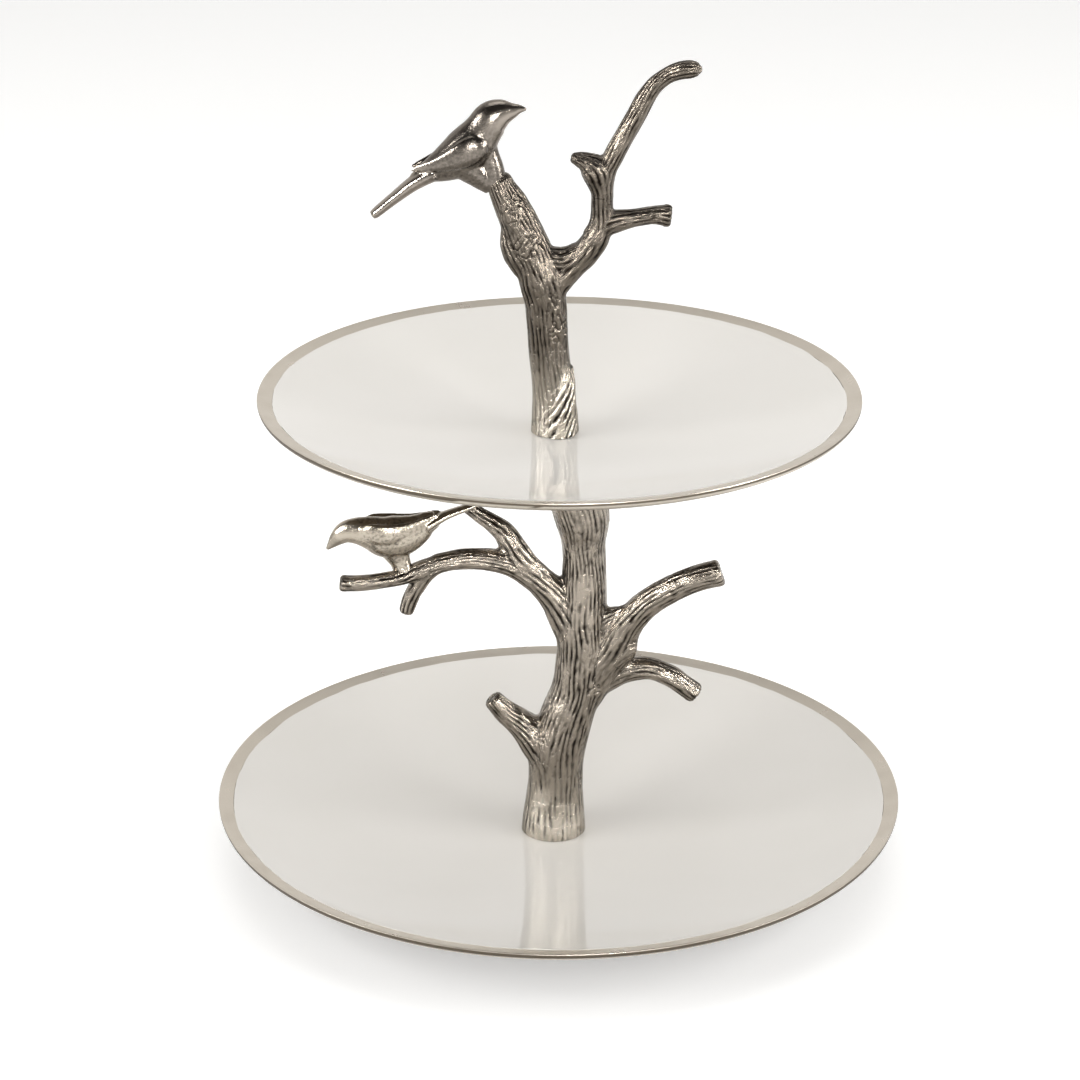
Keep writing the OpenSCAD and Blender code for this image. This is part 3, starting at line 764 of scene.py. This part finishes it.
# %% Trunk casting
TRUNK_LIMBS = {
    "trunk_bole": [(-2.3, 0, -4, 15.7), (-2.3, 0, 4, 15.4), (-1.4, 0, 26, 13.4), (-0.6, 0, 44, 13.8),
                   (4.3, 0, 62, 13.0), (8.6, 0, 76, 12.1), (10.6, 0, 92, 12.0), (11, 0, 108, 12.1),
                   (11.8, 0, 124, 11.3), (12, 0, 142, 10.5), (11.6, 0, 152, 10.7), (10.8, 0, 165, 13.2),
                   (7, 0, 182, 14.5), (2.5, 0, 196, 15.6), (0, 0, 204, 16.2), (0, 0, 209, 16.4)],
    "right_limb": [(9, 0, 62, 6.4), (12, 0, 70, 8.4), (16, 0, 78, 9.0), (21.5, -1, 89.5, 9.4),
                   (27.7, -3, 101.4, 8.9), (34.1, -6, 114.4, 7.6), (43.1, -9, 124.9, 6.8),
                   (55.2, -12, 133.9, 6.5), (65.5, -14, 139.3, 6.4), (74.4, -15.3, 142.4, 6.6),
                   (75.4, -15.4, 142.75, 6.2)],
    "right_web": [(11, 0, 96, 8), (17, -1, 107, 7), (24, -3, 114.5, 5), (32, -6, 119.5, 3)],
    "crotch_web": [(18, -0.5, 86, 8.4), (26, -2, 95, 8.8), (33, -3.4, 101.5, 7.8), (37.6, -4.6, 101, 5.6)],
    "right_twig": [(12, 0, 70, 5), (20.5, 0, 78.6, 6.4), (30.4, -1, 84.6, 6.0), (38.2, -2, 87, 5.8),
                   (45.4, -3, 87, 5.4), (54.6, -4, 83.2, 5.3), (59.8, -4, 79.2, 5.2), (64.6, -4, 75.4, 5.3),
                   (65.5, -4, 74.7, 4.9)],
    "left_stub": [(3, 0, 27, 9.5), (-1.7, 0, 37, 11.7), (-9, 0, 46.8, 10.2), (-17.2, 0, 56, 7.6),
                  (-25.2, 0, 62.6, 6.0), (-30.8, -1, 69.2, 5.1), (-31.8, -1, 70.4, 4.4)],
    "left_limb": [(10, 0, 98, 9.6), (6, 0, 109.6, 9.9), (0, 0, 121.5, 8.8), (-6.6, -1, 130, 7.7),
                  (-15.3, -2, 137.3, 6.7), (-24.7, -3, 142.4, 6.0), (-35.8, -4, 144.7, 5.4),
                  (-46.7, -6, 145.5, 5.1), (-56.9, -8, 144.2, 5.1), (-62, -9, 142.6, 4.4)],
    "left_twig": [(-52, -6.9, 145, 4.2), (-63.2, -9, 142.2, 4.8), (-72.5, -12, 139.4, 4.1),
                  (-81.8, -16, 139.1, 3.9), (-92.4, -20, 139.3, 3.9), (-100.8, -22.9, 140.4, 4.1),
                  (-101.8, -23.2, 140.5, 3.8)],
    "left_spur": [(-54, -7, 144.6, 4), (-62, -8.4, 140, 4.6), (-67.6, -9, 132, 4.1), (-70.5, -9, 125.8, 3.9),
                  (-72, -9, 121, 3.7), (-72.3, -9, 119.8, 3.3)],
    "left_fork": [(-4, -1, 131, 4.5), (-9, -2, 135.5, 5.7), (-14, -2, 139.3, 6.5), (-18.8, -2, 145.1, 6.8),
                  (-22.1, -1, 150.6, 6.3), (-26.3, 0, 157, 5.4), (-31.8, 1, 161.2, 4.5), (-37.3, 2, 164.7, 3.9),
                  (-42.8, 3, 168.5, 3.6), (-43.5, 3, 169, 2.9)],
}
trunk_paths = [stations(points, FLOOR_1) for points in TRUNK_LIMBS.values()]
trunk_limbs = [draw_limb(name, path) for name, path in zip(TRUNK_LIMBS, trunk_paths)]
trunk = weld_casting("bark_trunk", trunk_limbs, trunk_paths, 0.66, 34, (2, 3))
# name: (mm between grooves, twist, strength)
TRUNK_HABIT = {"": (2.5, 0.0, 1.0), "trunk_bole": (2.6, 0.10, 0.9), "left_fork": (3.0, 0.06, 1.35),
               "right_web": (2.8, 0.0, 1.2), "crotch_web": (2.8, 0.0, 1.2), "left_stub": (2.8, 0.08, 1.2)}
carve_bark(trunk, trunk_paths, list(TRUNK_LIMBS), 0.8, TRUNK_HABIT,
           [(FLOOR_1, 0.35), (FLOOR_1 + 40, 0.45), (FLOOR_1 + 58, 1.1), (FLOOR_1 + 110, 1.05),
            (FLOOR_1 + 135, 0.75), (FLOOR_1 + 205, 0.65)], ("trunk_bole",),
           [(17, -9, FLOOR_1 + 79, 5, 1.0), (19, -7, FLOOR_1 + 198, 7, 0.8), (-8, -9, FLOOR_1 + 52, 6, 0.7)],
           seed=3.1)
level_cut(trunk, FLOOR_1 + 0.2, True)
UNDER_2 = FLOOR_2 - WALL
level_cut(trunk, UNDER_2 - 0.2, False)
bore(trunk, 4.05, FLOOR_1 - 5, FLOOR_1 + 15)
bore(trunk, 11.05, FLOOR_1 - 5, FLOOR_1 + 1.5)
bore(trunk, 12.3, UNDER_2 - 1.5, UNDER_2 + 5)
bore(trunk, 4.0, UNDER_2 - 20, UNDER_2 + 5)
trunk.data.materials.clear()
trunk.data.materials.append(TRUNK_BARK)
pick(trunk)
bpy.ops.object.shade_smooth_by_angle(angle=math.radians(60))
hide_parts("trunk")
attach(trunk, "stem")
tally(trunk)

# %% [markdown]
# ## Handle
# The handle is a smaller branch. It forks into the bird's perch on the left and a long hooked limb
# on the right, which has a blunt knob and a cut twig. Low on the front a flat strap of bark with
# slanting grooves wraps round its foot.

# %% Handle casting
HANDLE_LIMBS = {
    "handle_bole": [(-2, 0, -6, 11.3), (-2, 0, 1, 11.2), (-2.2, 0, 10.2, 10.6), (-3.1, 0, 23.4, 9.7),
                    (-4.8, 0, 38.1, 9.4), (-5.6, 0, 51.1, 9.5), (-6.4, 0, 63, 9.8), (-8.4, 0, 73.6, 10.5),
                    (-11.3, 0, 83.2, 10), (-15.1, 0, 92.7, 9.5), (-18.6, 0, 101.4, 8.9), (-22.1, 0, 109.3, 8.1),
                    (-25.6, 0, 116.0, 6.8), (-27.6, 0, 120.6, 6.0), (-28.2, 0, 121.8, 5.0)],
    "hook_limb": [(-6, 0, 58, 6.5), (-4.5, 0, 66, 7), (-1.2, 0, 72.5, 6.8), (4.9, 0, 79.4, 6.3),
                  (11.2, 0, 86.1, 6.5), (16.9, 0, 94.5, 6.2), (19.0, 0, 103.8, 5.3), (19.2, 0, 115, 5.2),
                  (20.6, 0, 124.9, 5.1), (23.9, 0, 131.8, 4.8), (28.9, 0, 141.3, 4.6), (34.2, 0, 151, 4.6),
                  (38.1, 0, 158.6, 4.5), (42.5, -1, 165.3, 4.1), (48.2, -2, 170.0, 3.9), (53.6, -4, 172.6, 4.2),
                  (58.0, -4.9, 173.4, 4.2), (60.6, -5.2, 173.4, 3.4), (62.2, -5.4, 173.3, 1.8)],
    "hook_knob": [(20, 0, 112, 4.8), (18.4, 0, 119, 6.0), (16.4, 0, 125.6, 7.2), (12.0, 0, 129.2, 5.0),
                  (8.2, 0, 130.8, 3.5), (5.8, 0, 131.3, 2.5)],
    "top_twig": [(13, 0, 94, 4), (18, 0, 98.5, 5.2), (24, 0, 101.2, 5.6), (31.8, 0, 102.8, 4.5),
                 (38, 1, 103.6, 4.2), (44.0, 3, 103.7, 4.4), (49.0, 4, 103.0, 5.2), (50.0, 4, 102.9, 4.9)],
    "fork_web": [(-9, 0, 77, 6), (-4, 0, 83.2, 6), (0.5, 0, 83.4, 6), (5, 0, 85, 5.4), (9, 0, 88, 4.5)],
    "foot_strap": [(-0.6, -3.7, -4, 9.0), (0.2, -4.3, 4, 8.2), (1.2, -4.9, 14, 7.0), (2.2, -4.9, 22, 5.6),
                   (3.2, -4.4, 28.5, 4.2), (4.2, -4.0, 33.5, 2.4), (4.3, -4.0, 34, 2.0)],
    "perch_bump": [(-14, 0, 78, 7), (-17.6, 0, 86, 8.4), (-20.6, 0, 92.5, 7.4), (-22.6, 0, 99, 5.0)],
}
handle_paths = [stations(points, FLOOR_2) for points in HANDLE_LIMBS.values()]
handle_limbs = [draw_limb(name, path) for name, path in zip(HANDLE_LIMBS, handle_paths)]
handle = weld_casting("bark_handle", handle_limbs, handle_paths, 0.5, 40, (4, 5, 6), (5,))
HANDLE_HABIT = {"": (2.3, 0.05, 1.0), "hook_limb": (2.3, 0.10, 1.0), "foot_strap": (2.7, -1.0, 1.7),
                "perch_bump": (2.4, 0.1, 1.3), "fork_web": (2.5, 0.1, 1.0)}
carve_bark(handle, handle_paths, list(HANDLE_LIMBS), 0.75, HANDLE_HABIT,
           [(FLOOR_2, 0.3), (FLOOR_2 + 36, 0.3), (FLOOR_2 + 46, 0.7), (FLOOR_2 + 60, 1.1),
            (FLOOR_2 + 140, 1.15)], ("handle_bole",),
           [(2, -8, FLOOR_2 + 53, 8.5, 1.0), (-4, -9, FLOOR_2 + 66, 6, 0.7), (-15, -8, FLOOR_2 + 92, 9, 0.8),
            (-21.5, -7, FLOOR_2 + 108, 8, 0.7)],
           seed=11.4)
level_cut(handle, FLOOR_2 + 0.2, True)
bore(handle, 4.05, FLOOR_2 - 5, FLOOR_2 + 14.7)
bore(handle, 7.45, FLOOR_2 - 5, FLOOR_2 + 1.5)
handle.data.materials.clear()
handle.data.materials.append(HANDLE_BARK)
pick(handle)
bpy.ops.object.shade_smooth_by_angle(angle=math.radians(60))
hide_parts("branch_handle")
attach(handle, "handle")
tally(handle)

# %% [markdown]
# ## Birds
# Each bird is one small casting: a body drawn from beak to rump, a long flat tail, and two folded
# wings whose lower edges stand off the belly as a crease. The surface keeps a fine sandy grain.

# %% Bird castings
def cast_bird(name, node, body_name, parts, base, dark, head_shade, speckle, finish, voxel=0.5):
    """parts: (points, broad) for each swelling of the bird, in mm over the dish floor.
    dark is painted shade over its plumage and the number after it painted shade on its head; speckle is how
    much the pits of the grain darken it."""
    pieces = []
    for i, (points, broad) in enumerate(parts):
        pieces.append(draw_limb(f"{name}_{i}", stations(points, base, 5), corners=28, broad=broad))
    pick(*pieces)
    bpy.ops.object.join()
    bird = bpy.context.object
    bird.name = name
    shaped_by(bird, "REMESH", mode="VOXEL", voxel_size=voxel * MM)
    shaped_by(bird, "SMOOTH", factor=0.5, iterations=5)
    count = len(bird.data.vertices)
    points = np.zeros(count * 3)
    bird.data.vertices.foreach_get("co", points)
    points = points.reshape(-1, 3) / MM
    beak = parts[0][0][0]
    head = np.linalg.norm(points - np.array([beak[0], beak[1], beak[2] + base]), axis=1)
    plumage = np.clip((head - 9) / 14, 0.12, 1) * np.clip((62 - head) / 12, 0.35, 1)
    grain = np.array([max(0.0, 0.5 + 0.6 * noise.noise(Vector(p) / 1.25) + 0.4 * noise.noise(Vector(p) / 0.7))
                      for p in points]) * plumage
    group = bird.vertex_groups.new(name="grain")
    levels = np.clip(np.round(grain * 40), 0, 40).astype(int)
    for level in range(1, 41):
        chosen = np.nonzero(levels == level)[0].tolist()
        if chosen:
            group.add(chosen, level / 40, "REPLACE")
    shaped_by(bird, "DISPLACE", vertex_group="grain", strength=-0.13 * MM, mid_level=0.3, direction="NORMAL")
    # painted shade: the plumage and the head are darkened, on top of the darker pits of the grain
    groove = bird.data.attributes.new("groove", "FLOAT", "POINT")
    groove.data.foreach_set("value", np.clip(
        dark * plumage + head_shade * np.clip((13 - head) / 5, 0, 1) + (grain - 0.5) * speckle, 0, 0.85))
    bird.data.materials.clear()
    bird.data.materials.append(finish)
    pick(bird)
    bpy.ops.object.shade_smooth_by_angle(angle=math.radians(60))
    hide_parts(node)
    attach(bird, body_name)
    tally(bird)
    return bird


UPPER_BIRD = [
    ([(-15.0, 0, 153.8, 0.7), (-18.3, 0, 153.9, 2.2), (-21.5, 0, 153.2, 3.9), (-26, 0, 152.2, 6.6),
      (-30.6, 0, 149.6, 8.3), (-34.4, 0, 144.4, 8.9), (-38.4, 0, 138.9, 10.3), (-44, 0, 133.2, 10.6),
      (-51.5, 0, 128.6, 8.4), (-60, 0, 124.6, 5.0), (-66, 0, 120.6, 3.2)], 0.82),
    ([(-57, 0, 125.0, 4.4), (-66, 0, 119.6, 3.5), (-75, 0, 112.6, 2.8), (-83.4, 0, 105.7, 2.4),
      (-85.0, 0, 104.4, 2.0)], 1.5),
    ([(-33.5, -6.2, 142, 2.0), (-37, -7.4, 139, 5.6), (-44, -8.0, 134.6, 6.0), (-54, -6.6, 130.4, 3.6),
      (-64, -3.8, 127.4, 1.6), (-67, -3.2, 126.4, 0.8)], 0.42),
    ([(-33.5, 6.2, 142, 2.0), (-37, 7.4, 139, 5.6), (-44, 8.0, 134.6, 6.0), (-54, 6.6, 130.4, 3.6),
      (-64, 3.8, 127.4, 1.6), (-67, 3.2, 126.4, 0.8)], 0.42),
    ([(-47, 0, 132, 8.0), (-41, 0, 127.2, 7.4), (-36.4, 0, 123, 6.0), (-32.6, 0, 119.6, 4.9),
      (-30.6, 0, 117.4, 4.0)], 0.92),
    ([(-33.6, 0, 140, 4.6), (-31.8, 0, 133, 4.5), (-30.2, 0, 127, 4.9), (-29.2, 0, 121, 5.2),
      (-28.6, 0, 118.6, 4.8)], 1.0),
]
upper_bird = cast_bird("cast_upper_bird", "upper_bird", "handle", UPPER_BIRD, FLOOR_2, 0.45, 0.0, 0.45,
                       UPPER_FEATHER)

LOWER_BIRD = [
    ([(-109.2, -10, 152.2, 0.7), (-107, -10, 154.7, 2.1), (-103.8, -10, 158.2, 4.0), (-100.0, -10, 160.9, 5.5),
      (-94.9, -10, 161.6, 6.6), (-88.7, -10, 160.6, 8.2), (-81.7, -10, 158.6, 10.1), (-74.4, -9.6, 158.9, 10),
      (-67.6, -8.9, 161.4, 8.1), (-62.1, -8.2, 164.9, 5.6), (-57.4, -7.6, 166.8, 3.9)], 0.82),
    ([(-62, -8.2, 164, 3.2), (-54.3, -7.4, 167.9, 2.2), (-48.1, -6.6, 170.2, 1.8), (-41.8, -6, 172.3, 1.6),
      (-34.8, -5.4, 175.1, 1.3), (-33.4, -5.3, 175.7, 1.0)], 1.9),
    ([(-93, -15, 163, 2.0), (-88, -16.6, 163, 4.6), (-79, -17.2, 162.4, 5.2), (-69, -14.6, 164.6, 3.4),
      (-59, -11, 168.6, 1.6), (-56, -10.2, 169.6, 0.8)], 0.42),
    ([(-93, -5, 163, 2.0), (-88, -3.4, 163, 4.6), (-79, -2.6, 162.4, 5.2), (-69, -3.4, 164.6, 3.4),
      (-59, -5, 168.6, 1.6), (-56, -5.2, 169.6, 0.8)], 0.42),
    ([(-77.5, -9.8, 153, 7.6), (-76, -10, 149.4, 6.2), (-74.6, -10.4, 145.8, 5.0), (-73.4, -11.2, 141.6, 4.6),
      (-73, -11.3, 140.6, 4.2)], 0.8),
]
lower_bird = cast_bird("cast_lower_bird", "lower_bird", "stem", LOWER_BIRD, FLOOR_1, 0.1, 0.8, 1.1,
                       LOWER_FEATHER)

# %% [markdown]
# ## Screw and stud
# A thread is one zigzag carried up and round. The Screw modifier does just that, with 1.25 mm of
# rise a turn for this size. A plain core fills it, and the ends are closed.

# %% Threads
def cut_thread(name, z_low, z_high):
    """A right-hand M8 thread between two heights, with a plain chamfered core."""
    pitch = 1.25
    turns = int((z_high - z_low) / pitch) - 1
    let_go()
    bpy.ops.mesh.primitive_plane_add(size=1 * MM)
    thread = bpy.context.object
    thread.name = name
    bpy.ops.object.mode_set(mode="EDIT")
    bpy.ops.mesh.select_all(action="SELECT")
    bpy.ops.mesh.merge(type="CENTER")
    bpy.ops.transform.translate(value=(3.3 * MM, 0, z_low * MM))
    for step in ((0.62, 0.5), (0.04, 0.08), (0.0, 0.09), (-0.04, 0.08), (-0.62, 0.5)):
        bpy.ops.mesh.extrude_vertices_move(
            TRANSFORM_OT_translate={"value": (step[0] * MM, 0, step[1] * MM)})
    bpy.ops.object.mode_set(mode="OBJECT")
    settle(thread)
    shaped_by(thread, "SCREW", angle=2 * math.pi, screw_offset=pitch * MM, iterations=turns,
              steps=40, render_steps=40, use_merge_vertices=True, merge_threshold=0.01 * MM)
    let_go()
    bpy.ops.mesh.primitive_cylinder_add(vertices=40, radius=3.34 * MM, depth=(z_high - z_low) * MM,
                                        location=(0, 0, (z_low + z_high) / 2 * MM))
    core = bpy.context.object
    settle(core)
    shaped_by(core, "BEVEL", width=0.4 * MM, segments=2, limit_method="ANGLE")
    pick(thread, core)
    bpy.ops.object.join()
    bpy.ops.object.shade_smooth_by_angle(angle=math.radians(40))
    thread.data.materials.clear()
    thread.data.materials.append(ZINC)
    return thread


stud_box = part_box("joining_stud")
stud = cut_thread("threaded_stud", stud_box[0].z / MM, stud_box[1].z / MM)
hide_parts("joining_stud")
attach(stud, "stem")
tally(stud)
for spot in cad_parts["base_screw"].material_slots:
    spot.material = ZINC
